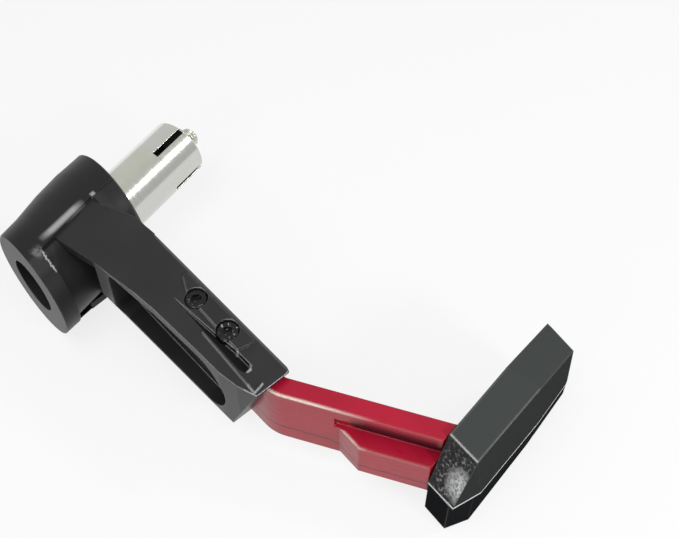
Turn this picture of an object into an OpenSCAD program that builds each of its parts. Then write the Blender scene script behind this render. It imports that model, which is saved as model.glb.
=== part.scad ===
// Lever guard for a right-hand handlebar end, in millimetres.
// X runs along the handlebar and points inboard, -Y points forward, Z points up.
// The origin lies on the handlebar axis where the end of the tube stops against the barrel.

/* [Sleeve and bolt] */
// Outer diameter of the expansion sleeve
sleeve_d = 17.5; // [12:0.1:24]
// Length of the sleeve beyond the tube stop
sleeve_len = 37; // [25:0.5:50]
// Wall of the sleeve
sleeve_wall = 2.35; // [1.5:0.05:3]
// Wall of the sleeve at the flared free end
flare_wall = 1.25; // [0.8:0.05:2]
// Length of the flare
flare_len = 11; // [6:0.5:20]
// Diameter of the collar at the root
collar_d = 21; // [18:0.5:26]
// Thickness of the collar
collar_t = 2; // [1:0.1:4]
// Width of the sleeve slots
slot_w = 1.8; // [1:0.1:3]
// Length of the sleeve slots
slot_len = 12; // [6:0.5:20]
// Turn of the first slot away from the top
slot_turn = 14; // [0:1:89]
// Thread diameter of the bar end bolt
bolt_d = 6; // [4:0.5:8]
// Length of thread showing past the sleeve
bolt_past = 5.5; // [0:0.5:12]
// Diameter of the bolt head
bolt_head_d = 10; // [7:0.5:13]
// Height of the bolt head
bolt_head_h = 6; // [3:0.5:8]
// Outer diameter of the bolt washer
washer_d = 12.6; // [8:0.2:15]
// Thickness of the bolt washer
washer_t = 1.2; // [0.5:0.1:2]

/* [Barrel] */
// Radius of the barrel at the inboard rim
rim_r = 17.4; // [14:0.1:22]
// Largest radius of the barrel, between its ends
belly_r = 17.5; // [14:0.1:22]
// Radius of the barrel at the outboard face
face_r = 15.4; // [10:0.1:20]
// Length of the barrel outboard of the tube stop, along its axis
barrel_out = 24.5; // [20:0.5:40]
// Depth of the cup round the sleeve, along its axis
cup_len = 8.5; // [6:0.5:20]
// Lean of the barrel's end faces
face_lean = 13.5; // [0:0.5:20]
// Diameter of the cup
cup_d = 29; // [24:0.5:34]
// Diameter of the outboard hole
hole_d = 16; // [12:0.2:20]
// Wall between the outboard hole and the cup
floor_t = 6; // [4:0.5:12]
// Radius of the barrel where it is recessed beside the arm
core_r = 14; // [12:0.1:16]
// Width of the full band between the outboard face and the recess
band_w = 5; // [3:0.1:8]
// Line along the crest where the barrel steps down to the arm
ridge_y = -3.5; // [-6:0.1:0]

/* [Arm] */
// Angle of the arm away from straight ahead
arm_lean = 13.2; // [0:0.2:25]
// Height of the arm top above the handlebar axis
arm_top = 21; // [15:0.5:30]
// Height of the arm underside
arm_bottom = -4; // [-10:0.5:5]
// Thickness of the top and bottom walls
arm_wall = 2.3; // [1.5:0.1:4]
// Width of the lips that hold the blade
lip_t = 1.9; // [1:0.1:3]
// Height of the lips that hold the blade
lip_h = 3.6; // [2:0.1:6]
// Far end of the outboard pocket, along the arm
pocket_end = 52.2; // [45:0.2:58]
// Height of the lip under the outboard pocket
pocket_lip = 3.8; // [2:0.1:6]
// Diameter of the eye through the arm beside the barrel
eye_d = 7.6; // [5:0.1:9]
// Thickness of the web between blade and outboard pocket
web_t = 2.3; // [1.5:0.1:4]
// Diameter of the clamp screw thread
clamp_d = 3; // [2:0.5:5]
// Diameter of the clamp screw head
clamp_head_d = 5.5; // [4:0.1:8]
// Height of the clamp screw head
clamp_head_h = 2; // [1.5:0.1:4]
// Height of the pad round the clamp screws
pad_t = 0.6; // [0.2:0.1:2]
// Place of the first clamp screw along the arm
clamp_1 = 31.4; // [24:0.2:45]
// Place of the second clamp screw along the arm
clamp_2 = 43.8; // [30:0.2:50]

/* [Blade] */
// Thickness of the blade
blade_t = 5; // [3:0.1:7]
// Underside of the blade
blade_z0 = -1.5; // [-6:0.1:4]
// Top of the blade
blade_z1 = 18.5; // [12:0.1:26]
// Turn of the first fold
fold_1 = 30.9; // [10:0.1:50]
// Length between the folds
mid_len = 46.4; // [30:0.2:70]
// Direction of the last part away from the handlebar
tip_turn = -4.6; // [-15:0.1:15]
// Length of the last part
last_len = 27; // [15:0.5:35]
// Depth of the ledge on the front face
ledge_out = 3.7; // [1:0.1:5]
// Top of the ledge
ledge_top = 10.5; // [4:0.1:14]
// Depth of the groove above the ledge
groove_in = 1.3; // [0.5:0.1:2]
// Height of the groove
groove_h = 4.4; // [2:0.1:6]

/* [Tip] */
// Wall of the tip
tip_wall = 2; // [1.2:0.1:3]
// Top of the tip at the outboard end
tip_top = 20; // [14:0.2:26]
// Bottom of the tip
tip_bottom = -10; // [-16:0.2:0]
// Place of the tip screw along the tip
tip_screw_x = 15; // [8:0.5:25]
// Height of the tip screw
tip_screw_z = 8.5; // [4:0.5:14]
// Diameter of the boss for the tip screw
tip_boss_d = 13; // [8:0.5:16]
// Thread diameter of the tip screw
tip_screw_d = 5; // [3:0.5:6]
// Head diameter of the tip screw
tip_head_d = 9.5; // [7:0.5:12]

/* [Fits] */
// Clearance round each screw shank
screw_gap = 0.2; // [0.1:0.05:0.4]
// Clearance of a thread in its own hole
thread_gap = 0.05; // [0:0.05:0.2]
// Clearance between blade and channel
blade_gap = 0.1; // [0.05:0.05:0.3]
// Clearance between cone and sleeve
cone_gap = 0.1; // [0.05:0.05:0.3]

/* [Hidden] */
$fn = 64;
eps = 0.01;
sleeve_r = sleeve_d / 2;
bore_r = sleeve_r - sleeve_wall;
flare_r = sleeve_r - flare_wall;
floor_x = -floor_t;
arm_x0 = -0.7;
arm_y0 = -20;
arm_ang = -90 - arm_lean;
chan_v1 = -lip_t;
chan_v0 = chan_v1 - blade_t - 2 * blade_gap;
blade_v = (chan_v0 + chan_v1) / 2;
web_v = chan_v0 - web_t;
chan_z0 = blade_z0 - blade_gap;
chan_z1 = blade_z1 + blade_gap;
chan_u0 = 13;
fold_u = 61.6;
end_u = 62.2;
seat_z = arm_top + pad_t - clamp_head_h - 0.4;
sec1_start = [chan_u0 + 0.6, blade_v];
pocket_z0 = arm_bottom + pocket_lip;
pocket_h = arm_top - arm_wall - pocket_z0;
step_x = -19;
tip_back = 3.7;
tip_wide_z = 4;
web_x = -6;
root_z = 15.9;
root_end = 3.1;

function band_x(y) = -barrel_out + band_w + y * tan(face_lean);
function along(p, a, d) = [p[0] + d * cos(a), p[1] + d * sin(a)];
function arm_pt(u, v) = [
    arm_x0 + u * cos(arm_ang) - v * sin(arm_ang),
    arm_y0 + u * sin(arm_ang) + v * cos(arm_ang)
];
sec1_a = arm_ang;
sec2_a = arm_ang + fold_1;
sec3_a = tip_turn;
p_start = arm_pt(sec1_start[0], sec1_start[1]);
p_fold1 = arm_pt(fold_u, blade_v);
p_fold2 = along(p_fold1, sec2_a, mid_len);
p_last = along(p_fold2, sec3_a, last_len);

// Arc points of a rounded fold, at a distance from the centre line
function fold_pts(p, a0, a1, r, off, n) = [
    for (i = [0:n])
        let (
            k = r * tan((a1 - a0) / 2),
            c = along(along(p, a0, -k), a0 + 90, r),
            a = a0 - 90 + (a1 - a0) * i / n
        )
        [c[0] + (r - off) * cos(a), c[1] + (r - off) * sin(a)]
];

function side_pts(off) = concat(
    [along(p_start, sec1_a + 90, off)],
    fold_pts(p_fold1, sec1_a, sec2_a, 9, off, 8),
    fold_pts(p_fold2, sec2_a, sec3_a, 6, off, 12),
    [along(p_last, sec3_a + 90, off)]
);

module at_arm() translate([arm_x0, arm_y0, 0]) rotate([0, 0, arm_ang]) children();
module at_tip() translate([p_fold2[0], p_fold2[1], 0]) rotate([0, 0, tip_turn]) children();
module at_mid() translate([p_fold1[0], p_fold1[1], 0]) rotate([0, 0, sec2_a]) children();
module along_x(x) translate([x, 0, 0]) rotate([0, 90, 0]) children();

module slab(pts, z0, z1) translate([0, 0, z0]) linear_extrude(z1 - z0) polygon(pts);

// A block of the arm cut from its side view, v across and z up
module side_slab(pts, v0, v1)
    translate([0, v1, 0]) rotate([90, 0, 0]) linear_extrude(v1 - v0) polygon(pts);

// Top and underside of the arm beside the barrel, forward distance and height
function rise(t) = t * t * (3 - 2 * t);
root_top = [for (i = [-1:16]) [3.5 + 30 * i / 16, root_z + (arm_top - root_z) * rise(max(i, 0) / 16)]];
root_under = [[30, arm_bottom - 0.3], [24, -5.6], [18, -8.2], [12, -11.2], [6, -13.2], [-3, -13]];

module arm_plan() slab([
    [-0.7, 3], [-1.6, -7], [-0.4, -13], [-0.1, -19], arm_pt(3.5, 0), arm_pt(end_u - 1.8, 0), arm_pt(end_u - 0.5, -0.5),
    arm_pt(end_u, -1.8), arm_pt(end_u, -10.6), arm_pt(57, -12.4), arm_pt(51.2, -13.3), arm_pt(43, -13.5),
    arm_pt(27, -14.2), arm_pt(9.7, -15.8), arm_pt(4, -16), [-16.7, -15], [-16.2, -9], [-15.6, ridge_y], [-15.6, 3]
], -22, 26);

module arm_side() translate([12, 0, 0]) rotate([90, 0, -90]) linear_extrude(60)
    polygon(concat(root_top, [[36, arm_top], [90, arm_top], [90, arm_bottom], [36, arm_bottom]], root_under));

// All that lies above the leaning facet at the root of the arm
module above_facet() translate([0, 0, root_z - 0.2]) rotate([-11.8, -6.5, 0]) translate([-40, -60, 0]) cube([80, 70, 20]);

// The arm, with its end sloped and its lower outboard edge drawn in
module arm_solid() difference() {
    intersection() {
        arm_plan();
        arm_side();
        at_arm() side_slab([[-40, -30], [51, -30], [52.4, arm_bottom], [end_u, arm_top], [end_u, 30], [-40, 30]], -40, 40);
    }
    at_arm() translate([0, -13.8, arm_bottom]) rotate([0, 0, 1.9]) rotate([16.7, 0, 0])
        translate([-5, -30, -30]) cube([80, 30, 60]);
    above_facet();
}

// Rounded window in side view, from u0 to u1 and z0 to z1
module slot_side(u0, u1, z0, z1, r, v0, v1)
    translate([0, v1, 0]) rotate([90, 0, 0]) linear_extrude(v1 - v0)
        translate([u0, z0]) offset(r) offset(-r) square([u1 - u0, z1 - z0]);

// Barrel between its leaning end faces, with the recess beside the arm and the step along its crest
module barrel_outer() difference() {
    intersection() {
        rotate([0, 90, 0]) rotate_extrude($fn = 96) polygon([
            [0, -barrel_out - 8], [face_r - 0.3, -barrel_out - 8], [face_r, -barrel_out], [belly_r - 1.6, -barrel_out * 0.6],
            [belly_r - 0.5, -barrel_out * 0.25], [belly_r, 2], [rim_r, cup_len], [rim_r, cup_len + 8], [0, cup_len + 8]
        ]);
        translate([-barrel_out, 0, 0]) rotate([0, 0, -face_lean]) rotate([0, 90, 0]) rotate_extrude($fn = 96)
            polygon([[0, 0], [face_r + 0.1, 0], [face_r + 0.9, 0.8], [face_r + 2.5, 4], [60, 90], [0, 90]]);
        translate([cup_len, 0, 0]) rotate([0, 0, -face_lean]) rotate([0, 90, 0]) rotate_extrude($fn = 96)
            polygon([[0, 0], [rim_r - 1, 0], [rim_r - 0.3, -0.3], [rim_r + 0.4, -1], [60, -90], [0, -90]]);
    }
    difference() {
        slab([[band_x(ridge_y), ridge_y], [web_x, ridge_y], [web_x, -20], [band_x(-20), -20]], -11, 30);
        along_x(-40) cylinder(r = core_r, h = 60);
    }
    translate([step_x, 0, 0]) rotate([90, 0, 90]) linear_extrude(arm_x0 - step_x)
        polygon(concat([for (q = root_top) if (q[0] >= -ridge_y && q[0] < 16) [-q[0], q[1]]], [[-16, 30], [ridge_y, 30]]));
    intersection() {
        above_facet();
        translate([step_x, -16, 0]) cube([arm_x0 - step_x, 16 + ridge_y, 30]);
    }
}

module barrel_bores() {
    along_x(-barrel_out - 8) cylinder(d = hole_d, h = barrel_out + 8 + floor_x);
    along_x(0) cylinder(d = cup_d, h = cup_len + 8);
    along_x(-collar_t) cylinder(d = collar_d + 2 * screw_gap, h = collar_t + eps);
    along_x(floor_x - 1) cylinder(d = bolt_d + 2 * screw_gap, h = floor_t + 2);
}

// Housing: the barrel and the arm frame in one moulding
module housing_arm() color([0.16, 0.16, 0.17]) difference() {
    union() {
        difference() {
            arm_solid();
            // Hollow under the arm's top beside the barrel, with its eye through the web
            intersection() {
                slab([[-40, ridge_y], [web_x, ridge_y], arm_pt(root_end - 1.5, -5.1), arm_pt(root_end, -6.6), arm_pt(root_end, -40)],
                    -14, 20);
                rotate([90, 0, -90]) linear_extrude(60)
                    polygon(concat([for (q = root_top) if (q[0] > -ridge_y && q[0] < 26) [q[0], q[1] - arm_wall - 1]],
                        [[26, 17], [26, -3.4], [18, -5.8], [12, -8.6], [6, -10.6]]));
            }
            translate([web_x - 2, -19.2, 6]) rotate([0, 90, 0]) cylinder(d = eye_d, h = 12);
            // Outboard pocket, with a full round at its far end
            at_arm() translate([0, web_v, pocket_z0]) rotate([90, 0, 0]) linear_extrude(20) {
                translate([8.6, 0]) offset(3) offset(-3) square([30, pocket_h]);
                translate([20, 0]) square([pocket_end - pocket_h / 2 - 20, pocket_h]);
                translate([pocket_end - pocket_h / 2, pocket_h / 2]) circle(pocket_h / 2);
            }
        }
        barrel_outer();
        // Raised pad round the clamp screws, and the thin ridge round the outboard corner
        at_arm() {
            slab([[24, -1.4], [50.4, -1.4], [50.4, -3.4], [49.7, -6.3], [34, -5.7], [28.6, -5.2], [24, -3]],
                arm_top - 1, arm_top + pad_t);
            slab([[40, -9.4], [61.3, -10.5], [60.6, -7.3], [60, -7.3], [60.6, -9.9], [40, -8.9]],
                arm_top - 1, arm_top + 0.4);
        }
    }
    barrel_bores();
    at_arm() {
        // Channel for the blade and the window between the lips
        slab([[chan_u0, chan_v0], [end_u + 2, chan_v0], [end_u + 2, chan_v1], [chan_u0, chan_v1]], chan_z0, chan_z1);
        slot_side(chan_u0 + 0.5, 90, chan_z0 + lip_h, chan_z1 - lip_h, 6, chan_v1 - 0.2, 3);
        side_slab([[48, chan_z0], [45, chan_z0 + lip_h], [45, chan_z1 - lip_h], [49, chan_z1],
            [end_u + 2, chan_z1], [end_u + 2, chan_z0]], chan_v1 - 0.2, 3);
        // Trench outboard of the pad
        translate([27, 0, arm_top - 0.2]) rotate([0, 3.6, 0])
            slab([[0, -8.4], [13, -7.4], [22.7, -6.4], [28, -6.3], [29, -7.1], [28.9, -8.2], [28, -8.9], [26.6, -9.2]], 0, 6);
        // Chamfer along the inboard edge of the top
        translate([8, 0.01, arm_top - 1]) rotate([45, 0, 0]) cube([60, 6, 6]);
        for (u = [clamp_1, clamp_2]) translate([u, blade_v, 0]) {
            translate([0, 0, seat_z]) cylinder(d = clamp_head_d + 2 * screw_gap, h = 6);
            translate([0, 0, chan_z1 - 1]) cylinder(d = clamp_d + 2 * screw_gap, h = 6);
        }
    }
}

// Blade: one folded bar with the ledge on its front face
module guard_blade() color([0.72, 0.08, 0.14]) difference() {
    union() {
        slab(concat(
            side_pts(-blade_t / 2),
            [for (i = [len(side_pts(0)) - 1:-1:0]) side_pts(blade_t / 2)[i]]
        ), blade_z0, blade_z1);
        at_mid() slab([[16.4, 0], [16.4, -blade_t / 2], [22.2, -blade_t / 2 - ledge_out], [39.5, -blade_t / 2 - ledge_out],
            [40.9, -blade_t / 2], [40.9, 0]], blade_z0 + 0.3, ledge_top);
    }
    // Groove above the ledge
    at_mid() slab([[15.2, -blade_t / 2 + groove_in], [14.2, -9], [60, -9], [60, -blade_t / 2 + groove_in]],
        ledge_top, ledge_top + groove_h);
    at_arm() for (u = [clamp_1, clamp_2]) translate([u, blade_v, blade_z1 - 9])
        cylinder(d = clamp_d + 2 * thread_gap, h = 12);
    at_tip() {
        translate([tip_screw_x, 0, tip_screw_z]) rotate([90, 0, 0])
            cylinder(d = tip_screw_d + 2 * screw_gap, h = blade_t + 8, center = true);
        // Relief where the blade goes into the tip
        translate([0, 4.1, 0]) rotate([90, 0, 0]) linear_extrude(14)
            polygon([[-12, 4], [-6.4, 4], [-1.7, 15], [-1.7, 16.4], [40, 16.4], [40, 24], [-12, 24]]);
    }
}

// Outlines of the tip at its top, at its widest and in its lower body, with the place of the rear edge
function tip_top_pts(back) = [[-2.6, back], [-3.6, -1.5], [-4.4, -5.4], [21, -5.8], [35.3, -5.4], [38.2, back]];
function tip_wide_pts(back) = [[-9, back], [-10.6, -4.6], [-3, -7.2], [21, -7.2], [35.3, -6.4], [38.2, back]];
function tip_low_pts(back) = [[-8.9, back], [-10.5, -3.4], [-4.6, -6.4], [21, -6.3], [34.5, -5.5], [37.2, back]];

module tip_outer() {
    difference() {
        hull() {
            slab(tip_top_pts(tip_back), tip_top - 0.1, tip_top);
            slab(tip_wide_pts(tip_back), tip_wide_z - 0.5, tip_wide_z + 0.5);
            slab([[21, -7.2], [35.3, -6.4], [38.2, tip_back], [21, tip_back]], -2.4, -2);
        }
        translate([20, -20, tip_top]) rotate([0, 9, 0]) cube([40, 40, 10]);
    }
    // Lower body, a little inside the lip above it
    intersection() {
        slab(tip_low_pts(tip_back), tip_bottom - 4, 8);
        translate([0, 10, 0]) rotate([90, 0, 0]) linear_extrude(30) polygon([
            [-12, tip_wide_z + 0.4], [-3, tip_wide_z + 0.4], [40, -2], [40, tip_bottom + 2.4],
            [-4, tip_bottom], [-12, tip_bottom + 1]
        ]);
    }
}

module inset_slab(pts, z0, z1) translate([0, 0, z0]) linear_extrude(z1 - z0) offset(delta = -tip_wall) polygon(pts);

module tip_hollow() {
    hull() {
        inset_slab(tip_top_pts(tip_back + 10), tip_top - 5, tip_top - tip_wall);
        inset_slab(tip_wide_pts(tip_back + 10), tip_wide_z, tip_wide_z + 0.6);
    }
    inset_slab(tip_low_pts(tip_back + 10), tip_bottom + 2 * tip_wall, tip_wide_z + 1);
}

// Tip: hollow end cap open to the rear
module tip_cap() color([0.15, 0.15, 0.16]) at_tip() difference() {
    union() {
        difference() {
            tip_outer();
            intersection() {
                tip_hollow();
                translate([0, 0, -0.6]) rotate([0, 9, 0]) translate([-8, -30, -40]) cube([80, 60, 60]);
            }
        }
        translate([tip_screw_x, -blade_t / 2, tip_screw_z]) rotate([90, 0, 0]) cylinder(d = tip_boss_d, h = 3.4);
    }
    translate([tip_screw_x, 4, tip_screw_z]) rotate([90, 0, 0]) cylinder(d = tip_screw_d + 2 * thread_gap, h = 9.6);
}

// Sleeve: slotted at its free end, with a collar let into the barrel floor
module expansion_sleeve() color([0.8, 0.8, 0.76]) difference() {
    rotate([0, 90, 0]) rotate_extrude($fn = 96) polygon([
        [bore_r, -collar_t], [collar_d / 2, -collar_t], [collar_d / 2, 0], [sleeve_r, 0],
        [sleeve_r, sleeve_len - 0.5], [sleeve_r - 0.5, sleeve_len], [flare_r, sleeve_len],
        [bore_r, sleeve_len - flare_len]
    ]);
    for (a = [0:90:270]) rotate([slot_turn + a, 0, 0])
        translate([sleeve_len - slot_len, -slot_w / 2, 0]) cube([slot_len + 1, slot_w, 20]);
}

// Cone: pulled into the flare by the bolt, with two lugs in the slots
module expander_cone() color([0.78, 0.78, 0.74]) difference() {
    union() {
        rotate([0, 90, 0]) rotate_extrude($fn = 96) polygon([
            [0, sleeve_len - flare_len + 0.2], [bore_r - cone_gap, sleeve_len - flare_len + 0.2],
            [flare_r - cone_gap, sleeve_len - 0.2], [flare_r - cone_gap - 0.3, sleeve_len + 0.1],
            [0, sleeve_len + 0.1]
        ]);
        for (a = [0, 180]) rotate([slot_turn + a, 0, 0])
            translate([sleeve_len - 8, -slot_w / 2 + cone_gap, 3.4]) cube([8, slot_w - 2 * cone_gap, sleeve_r - 3.85]);
    }
    along_x(0) cylinder(d = bolt_d + 2 * thread_gap, h = 60);
    along_x(sleeve_len - 1.2) cylinder(d1 = bolt_d + 2 * thread_gap, d2 = bolt_d + 3.2, h = 1.4);
}

// Bolt: socket head, drawn in from the outboard hole
module bar_end_bolt() color([0.75, 0.75, 0.72]) difference() {
    union() {
        along_x(floor_x - washer_t - bolt_head_h) cylinder(d = bolt_head_d, h = bolt_head_h);
        along_x(floor_x - washer_t - eps) cylinder(d = bolt_d, h = -floor_x + washer_t + sleeve_len + bolt_past - 0.8);
        along_x(sleeve_len + bolt_past - 0.8 - 2 * eps) cylinder(d1 = bolt_d, d2 = bolt_d - 1.6, h = 0.8);
    }
    along_x(floor_x - washer_t - bolt_head_h - 1) cylinder(d = 5.77, h = 4, $fn = 6);
}

module bolt_washer() color([0.72, 0.72, 0.7]) along_x(floor_x - washer_t) difference() {
    cylinder(d = washer_d, h = washer_t);
    translate([0, 0, -1]) cylinder(d = bolt_d + 2 * screw_gap, h = washer_t + 2);
}

module clamp_screw(u) at_arm() translate([u, blade_v, seat_z]) difference() {
    union() {
        cylinder(d = clamp_head_d, h = clamp_head_h - 0.3);
        translate([0, 0, clamp_head_h - 0.3 - eps]) cylinder(d1 = clamp_head_d, d2 = clamp_head_d - 0.6, h = 0.3);
        translate([0, 0, -9]) cylinder(d = clamp_d, h = 9 + eps);
    }
    translate([0, 0, clamp_head_h - 1.2]) cylinder(d = 2.89, h = 2, $fn = 6);
}
module clamp_screw_inner() color([0.1, 0.1, 0.11]) clamp_screw(clamp_1);
module clamp_screw_outer() color([0.1, 0.1, 0.11]) clamp_screw(clamp_2);

// Tip screw: low round head against the blade, thread in the tip
module tip_screw() color([0.82, 0.82, 0.8]) at_tip() translate([tip_screw_x, blade_t / 2, tip_screw_z]) rotate([-90, 0, 0]) difference() {
    union() {
        rotate_extrude() polygon([
            [0, 0], [tip_head_d / 2, 0], [tip_head_d / 2, 0.7], [tip_head_d / 2 - 0.5, 1.6],
            [tip_head_d / 2 - 1.6, 2.3], [0, 2.6]
        ]);
        translate([0, 0, -blade_t - 3]) cylinder(d = tip_screw_d, h = blade_t + 3 + eps);
    }
    translate([0, 0, 1]) cylinder(d = 3.46, h = 3, $fn = 6);
}

housing_arm();
guard_blade();
tip_cap();
expansion_sleeve();
expander_cone();
bar_end_bolt();
bolt_washer();
clamp_screw_inner();
clamp_screw_outer();
tip_screw();
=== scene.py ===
"""Looks of the brake lever guard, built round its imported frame.

Lengths are in millimetres, and MM turns them into Blender's metres. The axes are the part's own: X runs inboard along
the handlebar, -Y is forward and Z is up.
"""

import math
from functools import reduce

import bmesh
import bpy
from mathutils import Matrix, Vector


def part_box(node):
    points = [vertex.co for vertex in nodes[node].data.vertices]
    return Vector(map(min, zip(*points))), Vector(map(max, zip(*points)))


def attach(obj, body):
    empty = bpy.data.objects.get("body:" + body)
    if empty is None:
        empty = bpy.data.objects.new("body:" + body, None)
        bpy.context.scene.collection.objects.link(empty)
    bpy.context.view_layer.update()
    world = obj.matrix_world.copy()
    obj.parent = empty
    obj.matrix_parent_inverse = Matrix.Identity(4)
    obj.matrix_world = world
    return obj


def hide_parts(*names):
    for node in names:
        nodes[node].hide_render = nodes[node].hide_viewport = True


MM = 0.001
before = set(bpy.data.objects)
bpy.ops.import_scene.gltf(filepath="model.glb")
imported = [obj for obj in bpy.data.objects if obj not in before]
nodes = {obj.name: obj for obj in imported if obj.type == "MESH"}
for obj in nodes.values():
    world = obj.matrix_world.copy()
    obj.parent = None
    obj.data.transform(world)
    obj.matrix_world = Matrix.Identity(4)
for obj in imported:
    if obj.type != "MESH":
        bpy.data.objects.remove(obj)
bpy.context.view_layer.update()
scene = bpy.context.scene
scene.view_settings.view_transform = "Standard"

# The camera that fits the photograph: its place, its turn from +Y toward +X and its tilt below level, in degrees
PHOTO_W = 679
FOCAL_PX = 1092
SENSOR = 36
CAM_POS = (-114.1, -163.7, 242.4)
CAM_TURN = 54.96
CAM_DOWN = 54.5


# Materials
def new_material(name, color, roughness, metallic=0.0, coat=0.0, specular=0.5):
    """A material with one Principled shader."""
    mat = bpy.data.materials.new(name)
    mat.use_nodes = True
    sockets = mat.node_tree.nodes["Principled BSDF"].inputs
    sockets["Base Color"].default_value = (*color, 1)
    sockets["Roughness"].default_value = roughness
    sockets["Metallic"].default_value = metallic
    sockets["Coat Weight"].default_value = coat
    sockets["Coat Roughness"].default_value = 0.1
    sockets["Specular IOR Level"].default_value = specular
    return mat


class Graph:
    """Short calls for the nodes that these materials use. A mask is an output that runs from 0 to 1."""

    BEVEL_SAMPLES = 6

    def __init__(self, mat):
        self.tree = mat.node_tree
        self.shader = self.tree.nodes.get("Principled BSDF")

    def add(self, kind, **values):
        node = self.tree.nodes.new(kind)
        for key, value in values.items():
            setattr(node, key, value)
        return node

    def link(self, a, b):
        self.tree.links.new(a, b)

    def give(self, socket, value):
        """Sets a socket to a number, or links it to an output."""
        if isinstance(value, (int, float)):
            socket.default_value = value
        else:
            self.link(value, socket)

    # Places and directions
    def scaled(self, per_mm):
        """Object coordinates times a size per millimetre, one number for each axis."""
        node = self.add("ShaderNodeMapping")
        node.inputs["Scale"].default_value = [s / MM for s in per_mm]
        self.link(self.add("ShaderNodeTexCoord").outputs["Object"], node.inputs["Vector"])
        return node.outputs["Vector"]

    def parts(self, vector):
        node = self.add("ShaderNodeSeparateXYZ")
        self.link(vector, node.inputs[0])
        return node.outputs

    def axes(self):
        """Object coordinates in millimetres, as three outputs."""
        return self.parts(self.scaled((1, 1, 1)))

    def facing(self):
        """The true normal's three parts."""
        return self.parts(self.add("ShaderNodeNewGeometry").outputs["True Normal"])

    def dot(self, a, b):
        """The dot product of a normal with another one, or with a fixed direction."""
        node = self.add("ShaderNodeVectorMath", operation="DOT_PRODUCT")
        self.link(a, node.inputs[0])
        if isinstance(b, Vector):
            node.inputs[1].default_value = b
        else:
            self.link(b, node.inputs[1])
        return node.outputs["Value"]

    # Numbers
    def math(self, kind, *values):
        node = self.add("ShaderNodeMath", operation=kind)
        for socket, value in zip(node.inputs, values):
            self.give(socket, value)
        return node.outputs[0]

    def line(self, value, slope, start):
        """Start plus slope times value."""
        return self.math("MULTIPLY_ADD", value, slope, start)

    def remap(self, value, a, b, lo=0.3, hi=0.7):
        """Goes from a at lo to b at hi. The usual lo and hi take in most of a noise."""
        node = self.add("ShaderNodeMapRange")
        for key, end in (("From Min", lo), ("From Max", hi), ("To Min", a), ("To Max", b)):
            node.inputs[key].default_value = end
        self.link(value, node.inputs["Value"])
        return node.outputs["Result"]

    def noise(self, per_mm, detail=2.0, rough=0.5):
        node = self.add("ShaderNodeTexNoise")
        for key, level in (("Scale", 1), ("Detail", detail), ("Roughness", rough)):
            node.inputs[key].default_value = level
        self.link(self.scaled(per_mm), node.inputs["Vector"])
        return node.outputs["Fac"]

    def blend(self, mask, a, b):
        """A number that goes from a to b by a mask; either may be an output."""
        node = self.add("ShaderNodeMix", data_type="FLOAT")
        self.link(mask, node.inputs["Factor"])
        self.give(node.inputs["A"], a)
        self.give(node.inputs["B"], b)
        return node.outputs["Result"]

    # Masks
    def rise(self, value, lo, hi):
        """0 up to lo, and 1 from hi on."""
        return self.remap(value, 0, 1, lo, hi)

    def fall(self, value, lo, hi):
        """1 up to lo, and 0 from hi on."""
        return self.remap(value, 1, 0, lo, hi)

    def band(self, value, lo, hi, soft):
        """1 from lo to hi, falling off to 0 over a soft margin on each side."""
        return self.both(self.rise(value, lo - soft, lo), self.fall(value, hi, hi + soft))

    def both(self, *masks):
        """All the masks at once: their product."""
        return reduce(lambda a, b: self.math("MULTIPLY", a, b), masks)

    def either(self, *masks):
        """Any of the masks: the greatest."""
        return reduce(lambda a, b: self.math("MAXIMUM", a, b), masks)

    def outside(self, mask):
        return self.math("SUBTRACT", 1.0, mask)

    def edges(self, radius, toward=None, lo=0.004, hi=0.12):
        """1 at edges rounded by this radius, 0 on open faces; with a direction, only at edges that face it."""
        rounded = self.rounded(radius)
        straight = self.dot(rounded, self.add("ShaderNodeNewGeometry").outputs["Normal"])
        mask = self.fall(straight, 1 - hi, 1 - lo)
        if toward is None:
            return mask
        return self.both(mask, self.rise(self.dot(rounded, Vector(toward).normalized()), 0.8, 0.95))

    # Colours
    def mix(self, mask, dark, light):
        """From one colour to another by a mask."""
        node = self.add("ShaderNodeMix", data_type="RGBA")
        node.inputs["A"].default_value = (*dark, 1)
        node.inputs["B"].default_value = (*light, 1)
        self.link(mask, node.inputs["Factor"])
        return node.outputs["Result"]

    def tint(self, mask, below, color):
        """A colour laid over an output by a mask."""
        node = self.add("ShaderNodeMix", data_type="RGBA")
        self.link(mask, node.inputs["Factor"])
        self.link(below, node.inputs["A"])
        node.inputs["B"].default_value = (*color, 1)
        return node.outputs["Result"]

    # Surface
    def rounded(self, radius):
        """Normals that round each edge by this radius."""
        node = self.add("ShaderNodeBevel", samples=self.BEVEL_SAMPLES)
        node.inputs["Radius"].default_value = radius * MM
        return node.outputs["Normal"]

    def bump(self, height, depth, strength, below):
        """Relief of this depth, laid over the normals below it."""
        node = self.add("ShaderNodeBump")
        node.inputs["Distance"].default_value = depth * MM
        node.inputs["Strength"].default_value = strength
        self.link(height, node.inputs["Height"])
        self.link(below, node.inputs["Normal"])
        return node.outputs["Normal"]

    def dull(self, mask, least):
        """Weakens the surface's reflections to least where the mask is 1."""
        self.link(self.mix(mask, (1, 1, 1), (least, least, least)), self.shader.inputs["Specular Tint"])

    def surface(self, normal, color, roughness):
        for value, name in ((normal, "Normal"), (color, "Base Color"), (roughness, "Roughness")):
            self.link(value, self.shader.inputs[name])


def grey(level):
    return (level, level, level)


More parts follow.
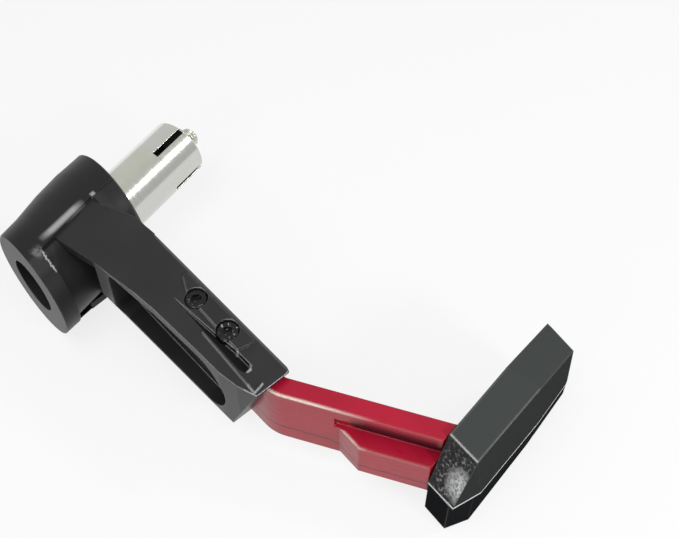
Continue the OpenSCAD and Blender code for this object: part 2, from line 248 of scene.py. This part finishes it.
def moulded_black():
    """Black moulded nylon: fine grain, with painted highlights on its edges and the barrel, and painted shade in a
    groove and on an end face.
    """
    mat = new_material("moulded_black", (0.016, 0.016, 0.017), 0.42, specular=0.36)
    g = Graph(mat)
    x, y, z = g.axes()
    nx, ny, _ = g.facing()
    flow = g.noise((0.03, 0.05, 0.05))
    grain = g.noise((3.2, 3.2, 3.2), 3, 0.6)
    wobble = g.noise((1.3, 1.3, 1.3), 3, 0.6)
    # The barrel's top
    crest = g.both(g.rise(z, 12, 13), g.rise(y, -13, -11))
    # Painted highlight: rounded edges a little lighter in colour, faint on the barrel's top; the same mask also makes
    # them glossier
    edge = g.both(g.edges(0.35), g.remap(crest, 1, 0.15, 0, 1))

    # Painted highlight along the ridge of the arm's top, on edges facing one way, dimmer past the start of the short
    # one across its end
    short_start = (-74.8, -74.2)
    ridge_highlight = g.both(g.edges(0.6, (-0.62, -0.1, 0.75)), g.fall(y, -24, -20), g.remap(y, 1, 0.42, *short_start))
    short_highlight = g.both(g.edges(0.45, (0.1, -0.6, 0.75)), g.fall(y, *short_start))
    # Painted highlight: a bright crescent at the far end of the groove in the arm's top, and a bright dot beside it
    crescent = g.both(g.band(x, -21.4, -18.9, 0.2), g.band(y, -73.4, -71.6, 0.35), g.band(z, 18, 20.8, 0.2))
    dot_highlight = g.both(g.band(x, -18.6, -18.3, 0.3), g.band(y, -67.2, -66.8, 0.3), g.rise(z, 19, 20))
    painted_highlight = g.either(ridge_highlight, short_highlight, crescent, dot_highlight)

    # Painted highlight along the crest above the step down to the arm, a painted glint at its inboard end, and the
    # parting line on from it to the rim
    across = g.line(x, 0.078, y)
    crest_highlight = g.both(crest, g.band(x, -15, -7, 4), g.band(across, -3.5, -2.8, 0.9))
    glint = g.both(crest, g.band(x, -0.5, 0.3, 0.5), g.band(across, -3.6, -3.0, 0.4))
    parting = g.both(crest, g.rise(x, 0.5, 0.9), g.band(across, -3.85, -3.7, 0.14))
    # Painted glints on the band between the recess and the flat face: a wavy line and a soft patch
    wavy = g.line(wobble, 1.6, g.line(y, -0.232, x))
    recess_glint = g.both(g.band(wavy, -19.35, -19.05, 0.25), g.band(y, -9.6, -4.6, 0.5), g.rise(z, 5, 6))
    end_glint = g.both(g.band(x, -22.3, -21.0, 1.3), g.band(y, -4.2, -3.0, 1.6), g.remap(wobble, 0.25, 1, 0.42, 0.58))
    painted_sheen = g.either(crest_highlight, g.both(glint, 0.9), recess_glint, g.both(end_glint, 0.45))

    # Painted shade in the groove along the arm's top, and on the end face over the blade. The groove leans along the
    # arm through this point, and beside is the distance from it along X.
    lean, groove_x, groove_y = 0.206, -15.1, -44.9
    beside = g.line(y, -lean, g.line(x, 1, lean * groove_y - groove_x))
    groove_shade = g.both(g.band(beside, -1.3, 1.3, 0.2), g.band(y, -73.5, -45, 0.5), g.band(z, 18, 20.75, 0.15))
    end_shade = g.both(g.fall(ny, -0.85, -0.75), g.fall(y, -77, -76), g.fall(z, 20.7, 20.9))
    dark = g.either(groove_shade, end_shade)
    # Painted light: a lighter colour on the web between the root's hollow and the pocket
    lit_web = g.both(g.band(y, -30, -19.6, 0.5), g.fall(nx, -0.95, -0.9))

    base = g.mix(g.remap(flow, 0, 1), (0.015, 0.015, 0.016), (0.026, 0.026, 0.0265))
    base = g.tint(g.both(lit_web, 0.9), base, grey(0.1))
    base = g.tint(g.both(edge, 0.45), base, (0.1, 0.1, 0.102))
    base = g.tint(g.both(painted_sheen, 0.9), base, grey(0.42))
    # The parting line is dark in itself; the groove and the end face get painted shade
    base = g.tint(g.both(g.either(parting, dark), 0.9), base, grey(0.001))
    g.surface(
        normal=g.bump(parting, -0.1, 1.0, g.bump(grain, 0.025, 0.5, g.rounded(0.45))),
        color=g.tint(painted_highlight, base, grey(0.65)),
        roughness=g.blend(g.either(edge, painted_sheen), g.remap(grain, 0.38, 0.46), 0.25),
    )

    # The barrel has a coarser finish than the arm, apart from its flat end face
    on_barrel = g.either(g.rise(y, -3.9, -3.6), g.fall(z, 12.5, 13.5), g.remap(x, 0, 0.5, 0, 2))
    coarse = g.both(on_barrel, g.rise(y, -18.5, -17.5), g.rise(nx, -0.9, -0.8), g.outside(painted_sheen))
    g.dull(g.either(coarse, g.both(dark, 1.4)), 0.42)
    return mat


def tip_black():
    """The tip's own moulding: greyer, pitted on its ramp, with painted highlights, and darker sides and black under
    its lip as painted shade.
    """
    mat = new_material("tip_black", (0.05, 0.055, 0.053), 0.5, specular=0.0)
    g = Graph(mat)
    x, y, z = g.axes()
    nx, _, nz = g.facing()
    grain = g.noise((3.2, 3.2, 3.2), 3, 0.6)
    pits = g.noise((1.1, 1.1, 1.1), 4, 0.7)
    shaded_side = g.fall(nz, 0.5, 0.8)
    # Height along the lip, which falls a little toward the inboard end
    lip_z = 3.5
    above = g.line(x, 0.05, z)
    shaded_low = g.fall(above, lip_z - 0.15, lip_z)
    ramp = g.both(g.fall(nx, -0.6, -0.5), g.outside(shaded_low))
    # Painted highlights: lighter rounded edges, and white on the lip and on edges that face up and outboard
    edge = g.edges(0.6, lo=0.002, hi=0.05)
    lip = g.both(g.band(above, lip_z, lip_z + 0.45, 0.12), shaded_side)
    white = g.either(lip, g.edges(0.9, (-0.4, 0, 0.92)))

    # Painted highlight: a shiny spot low on the ramp, with small painted glints round it
    spot_y, spot_z, half_y, half_z = -126.3, 10.6, 3.4, 4.2
    dy = g.line(y, 1 / half_y, -spot_y / half_y)
    dz = g.line(z, 1 / half_z, -spot_z / half_z)
    far = g.line(dy, dy, g.both(dz, dz))
    spot_highlight = g.both(g.remap(far, 1, 0.06, 0.05, 1.7), g.remap(pits, 0.35, 1, 0.42, 0.55))
    speckled_glints = g.both(g.remap(pits, 0, 0.6, 0.55, 0.62), g.remap(far, 1, 0.2, 0, 6))
    ramp_highlight = g.both(ramp, g.either(spot_highlight, speckled_glints))

    base = g.mix(g.remap(grain, 0, 1), (0.058, 0.064, 0.062), (0.068, 0.074, 0.072))
    # Painted shade: the upright faces darker than the top
    base = g.tint(shaded_side, base, (0.034, 0.035, 0.035))
    base = g.tint(ramp, base, grey(0.02))
    # Painted shade: black on the undercut below the lip
    base = g.tint(shaded_low, base, (0.013, 0.014, 0.015))
    base = g.tint(ramp_highlight, base, (0.62, 0.63, 0.63))
    base = g.tint(g.both(edge, 0.35), base, (0.14, 0.145, 0.145))
    base = g.tint(white, base, (0.75, 0.76, 0.76))
    rough = g.blend(ramp, g.remap(grain, 0.44, 0.54), 0.25)
    g.surface(
        normal=g.bump(g.both(pits, ramp), 0.4, 0.7, g.bump(grain, 0.02, 0.5, g.rounded(0.45))),
        color=base,
        roughness=g.blend(edge, rough, 0.25),
    )
    g.link(g.both(ramp_highlight, 0.6), g.shader.inputs["Metallic"])
    return mat


def anodised_red():
    """Red anodised bar under a thin clear film: fine drawn lines along it, and a parting line round it."""
    mat = new_material("anodised_red", (0.45, 0.007, 0.032), 0.3, coat=0.1, specular=0.32)
    g = Graph(mat)
    x, y, z = g.axes()
    shaded_side = g.fall(g.facing()[2], 0.3, 0.5)
    lines = g.noise((0.5, 0.12, 5.0), 3)
    tone = g.noise((0.08, 0.08, 0.08))
    edge = g.edges(0.4)
    # The parting line lies lower on the ledge than behind it
    parting = g.band(g.math("SUBTRACT", z, g.remap(y, 0, 1.4, -96, -93)), 2.0, 2.2, 0.16)
    # Distance in front of the blade's middle plane: 1.2 at the groove's floor, 2.5 at the front face
    front_x, front_y, middle = -0.953, -0.304, -42.25
    out = g.line(x, front_x, g.line(y, front_y, middle))

    # Painted highlights on edges that face one way, along the blade's top and along the ledge
    on_top = g.both(g.rise(z, 16.8, 17.2), g.remap(y, 0.03, 1, -104, -89))
    on_ledge = g.both(g.fall(z, 11, 11.4), g.rise(out, 2.5, 2.9), g.remap(y, 0.12, 1, -104, -100))
    cream_highlight = g.both(g.edges(1.4, (-0.67, -0.2, 0.72), 0.003, 0.05), g.either(on_top, on_ledge))
    # Painted shade on the groove above the ledge and on the face over it
    groove_y = -97.0
    between = g.both(g.rise(z, 10.45, 10.6), g.fall(z, 15.5, 17.6))
    groove_shade = g.both(between, g.fall(y, groove_y - 1.6, groove_y), g.both(g.band(out, 1.0, 2.7, 0.1), shaded_side))

    base = g.mix(g.remap(tone, 0, 1), (0.39, 0.006, 0.028), (0.46, 0.008, 0.035))
    # Painted shade: the upright sides darker than the top
    base = g.tint(g.both(shaded_side, 0.4), base, (0.24, 0.004, 0.0))
    base = g.tint(g.both(parting, 0.9), base, (0.05, 0.002, 0.006))
    # Painted highlight: a paler pink on rounded edges
    base = g.tint(g.both(edge, 0.3), base, (0.6, 0.2, 0.16))
    base = g.tint(g.both(groove_shade, 0.88), base, (0.035, 0.001, 0.008))
    base = g.tint(cream_highlight, base, (1.0, 0.94, 0.82))
    g.surface(
        normal=g.bump(parting, -0.08, 1.0, g.bump(lines, 0.012, 0.4, g.rounded(0.5))),
        color=base,
        roughness=g.blend(edge, g.remap(lines, 0.26, 0.36), 0.14),
    )
    g.dull(groove_shade, 0.3)
    return mat


def plated_steel(name="plated_steel", black_below=None):
    """Bright zinc plate: drawn lines round the turned parts and a faint yellow cast in patches.

    Where a place along X is given, all that lies short of it is blackened as painted shade, for the shade inside the
    sleeve's slot.
    """
    mat = new_material(name, (0.8, 0.8, 0.76), 0.16, metallic=1.0)
    g = Graph(mat)
    turned = g.noise((5.0, 0.2, 0.2))
    cast = g.noise((0.12, 0.16, 0.16))
    forward = g.fall(g.facing()[1], -0.8, -0.1)
    base = g.mix(g.remap(cast, 0, 1), (0.78, 0.79, 0.66), (0.83, 0.83, 0.82))
    # Painted shade: faces that turn forward darker
    base = g.tint(g.both(forward, 0.8), base, (0.58, 0.58, 0.56))
    rough = g.remap(turned, 0.12, 0.26)
    if black_below is not None:
        slot_shade = g.fall(g.axes()[0], black_below, black_below + 0.2)
        base = g.tint(slot_shade, base, grey(0.008))
        rough = g.blend(slot_shade, rough, 0.6)
    g.surface(normal=g.bump(turned, 0.008, 0.3, g.rounded(0.25)), color=base, roughness=rough)
    return mat


def black_oxide():
    """Black oxide on steel, with painted glints in small flecks."""
    mat = new_material("black_oxide", (0.01, 0.01, 0.011), 0.32, metallic=0.3)
    g = Graph(mat)
    speckled_glints = g.rise(g.noise((0.9, 0.9, 0.9), 3, 0.6), 0.6, 0.67)
    g.surface(
        normal=g.bump(g.noise((3, 3, 3)), 0.01, 0.4, g.rounded(0.2)),
        color=g.mix(speckled_glints, (0.008, 0.008, 0.009), grey(0.4)),
        roughness=g.remap(g.noise((0.8, 0.8, 0.8)), 0.24, 0.38),
    )
    return mat


BLACK, TIP, RED, PLATE, OXIDE = moulded_black(), tip_black(), anodised_red(), plated_steel(), black_oxide()
CONE = plated_steel("cone_steel", black_below=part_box("expander_cone")[1].x / MM - 0.7)


# Bolt with its cut thread, in place of the plain one
def ring(bm, x, radii):
    """Vertices round the X axis, one for each radius."""
    turns = [2 * math.pi * k / len(radii) for k in range(len(radii))]
    return [bm.verts.new((x, r * math.cos(turn), r * math.sin(turn))) for r, turn in zip(radii, turns)]


def skin(bm, rings):
    """Quads between each ring and the next."""
    for a, b in zip(rings, rings[1:]):
        for k in range(len(a)):
            j = (k + 1) % len(a)
            bm.faces.new((a[k], a[j], b[j], b[k]))


def rim_edges(bm, rim):
    return [bm.edges.get((a, b)) for a, b in zip(rim, rim[1:] + rim[:1])]


def threaded_bolt():
    """A socket-head bolt along X: the thread is a helix of V grooves that fades out at its chamfered end."""
    lo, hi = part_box("bar_end_bolt")
    head_r, head_len, shank_r = (hi.z - lo.z) / 2, 6 * MM, 3 * MM
    pitch, thread_depth = 1 * MM, 0.55 * MM
    head_round, under_round = 0.6 * MM, 0.3 * MM
    end_len, end_depth = 0.9 * MM, 0.8 * MM
    socket_r, socket_floor_r, socket_depth = 2.89 * MM, 2.8 * MM, 3 * MM
    around, per_turn = 40, 8
    shank_x = lo.x + head_len
    shank_len = hi.x - lo.x - head_len

    bm = bmesh.new()
    head = (
        (lo.x, head_r - head_round), (lo.x + 0.5 * MM, head_r),
        (shank_x - under_round, head_r), (shank_x, head_r - under_round), (shank_x, shank_r),
    )
    rings = [ring(bm, x, [r] * around) for x, r in head]
    steps = int(shank_len / pitch * per_turn)
    for i in range(1, steps + 1):
        x = shank_x + shank_len * i / steps
        chamfer = end_depth * (1 - min(1, (hi.x - x) / end_len))
        phases = [(x / pitch - k / around) % 1 for k in range(around)]
        cuts = [thread_depth * (1 - abs(2 * phase - 1)) for phase in phases]
        rings.append(ring(bm, x, [shank_r - max(cut, chamfer) for cut in cuts]))
    skin(bm, rings)
    bm.faces.new(rings[-1])

    # Hex socket in the head, wound the other way because it is seen from inside
    socket = ((lo.x, socket_r), (lo.x + 0.3 * MM, socket_r), (lo.x + socket_depth, socket_floor_r))
    hexes = [ring(bm, x, [r] * 6)[::-1] for x, r in socket]
    skin(bm, hexes)
    bm.faces.new(hexes[-1])
    bmesh.ops.triangle_fill(bm, edges=rim_edges(bm, rings[0]) + rim_edges(bm, hexes[0]), use_beauty=True)
    bmesh.ops.recalc_face_normals(bm, faces=bm.faces)

    mesh = bpy.data.meshes.new("bar_end_bolt_threaded")
    bm.to_mesh(mesh)
    bm.free()
    for poly in mesh.polygons:
        poly.use_smooth = True
    mesh.materials.append(PLATE)
    bolt = bpy.data.objects.new("bar_end_bolt_threaded", mesh)
    scene.collection.objects.link(bolt)
    bolt.modifiers.new("edges", "EDGE_SPLIT").split_angle = math.radians(38)
    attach(bolt, "root")
    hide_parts("bar_end_bolt")


threaded_bolt()
LOOKS = {
    "housing_arm": BLACK, "tip_cap": TIP, "guard_blade": RED,
    "expansion_sleeve": PLATE, "expander_cone": CONE, "bar_end_bolt": PLATE, "bolt_washer": PLATE,
    "tip_screw": PLATE, "clamp_screw_inner": OXIDE, "clamp_screw_outer": OXIDE,
}
for name, mat in LOOKS.items():
    for slot in nodes[name].material_slots:
        slot.material = mat


def white_floor():
    """White ground, tilted to touch the barrel and the tip as they would lie on it.

    To the camera and in reflections it is mostly plain white light, and to other rays a diffuse white surface.
    """
    barrel_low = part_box("housing_arm")[0].z
    tip_lo, tip_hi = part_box("tip_cap")
    tilt = math.atan2(tip_lo.z - barrel_low, (tip_lo.y + tip_hi.y) / 2)
    place = (0, 0, barrel_low - 0.2 * MM)
    bpy.ops.mesh.primitive_plane_add(size=4000 * MM, location=place, rotation=(tilt, 0, 0))
    floor = bpy.context.object
    floor.name = "floor"
    mat = bpy.data.materials.new("white_floor")
    mat.use_nodes = True
    mat.node_tree.nodes.clear()
    g = Graph(mat)
    diffuse = g.add("ShaderNodeBsdfDiffuse")
    diffuse.inputs["Color"].default_value = (*grey(0.92), 1)
    glow = g.add("ShaderNodeEmission")
    glow.inputs["Strength"].default_value = 1.0
    ray = g.add("ShaderNodeLightPath").outputs
    seen = g.either(ray["Is Camera Ray"], ray["Is Glossy Ray"], ray["Is Transmission Ray"])
    mix = g.add("ShaderNodeMixShader")
    g.link(g.both(seen, 0.8), mix.inputs["Fac"])
    g.link(diffuse.outputs[0], mix.inputs[1])
    g.link(glow.outputs[0], mix.inputs[2])
    g.link(mix.outputs[0], g.add("ShaderNodeOutputMaterial").inputs["Surface"])
    floor.data.materials.append(mat)


white_floor()

# Light: a surround that is brighter in reflections, and four soft lamps
SURROUND, SURROUND_REFLECTED = 0.28, 0.6
world = bpy.data.worlds.new("surround")
scene.world = world
world.use_nodes = True
sky = world.node_tree
sky.nodes["Background"].inputs["Color"].default_value = (1, 1, 1, 1)
rays = sky.nodes.new("ShaderNodeLightPath")
level = sky.nodes.new("ShaderNodeMapRange")
level.inputs["To Min"].default_value = SURROUND
level.inputs["To Max"].default_value = SURROUND_REFLECTED
sky.links.new(rays.outputs["Is Glossy Ray"], level.inputs["Value"])
sky.links.new(level.outputs["Result"], sky.nodes["Background"].inputs["Strength"])

# Each lamp's place, its two sides and its power in watts; all face the middle of the part
LAMP_AIM = Vector((0, -60, 0))
LAMPS = {
    "lamp_front": ((-60, -480, 260), (120, 80), 0.8),
    "lamp_left": ((-470, -130, 330), (100, 80), 0.35),
    "lamp_top": ((-200, 0, 600), (400, 400), 1.5),
    "lamp_right": ((300, -340, 440), (90, 90), 0.6),
}
for name, (place, sides, power) in LAMPS.items():
    data = bpy.data.lights.new(name, "AREA")
    data.shape = "RECTANGLE"
    data.size, data.size_y = (side * MM for side in sides)
    data.energy = power
    lamp = bpy.data.objects.new(name, data)
    scene.collection.objects.link(lamp)
    lamp.location = Vector(place) * MM
    lamp.rotation_mode = "QUATERNION"
    lamp.rotation_quaternion = (LAMP_AIM - Vector(place)).to_track_quat("-Z", "Y")

# Camera
cam_data = bpy.data.cameras.new("camera")
cam_data.sensor_fit = "HORIZONTAL"
cam_data.sensor_width = SENSOR
cam_data.lens = SENSOR * FOCAL_PX / PHOTO_W
cam_data.clip_start, cam_data.clip_end = 10 * MM, 10000 * MM
cam = bpy.data.objects.new("camera", cam_data)
scene.collection.objects.link(cam)
turn, down = math.radians(CAM_TURN), math.radians(CAM_DOWN)
look = Vector((math.sin(turn) * math.cos(down), math.cos(turn) * math.cos(down), -math.sin(down)))
cam.location = Vector(CAM_POS) * MM
cam.rotation_mode = "QUATERNION"
cam.rotation_quaternion = look.to_track_quat("-Z", "Y")
scene.camera = cam
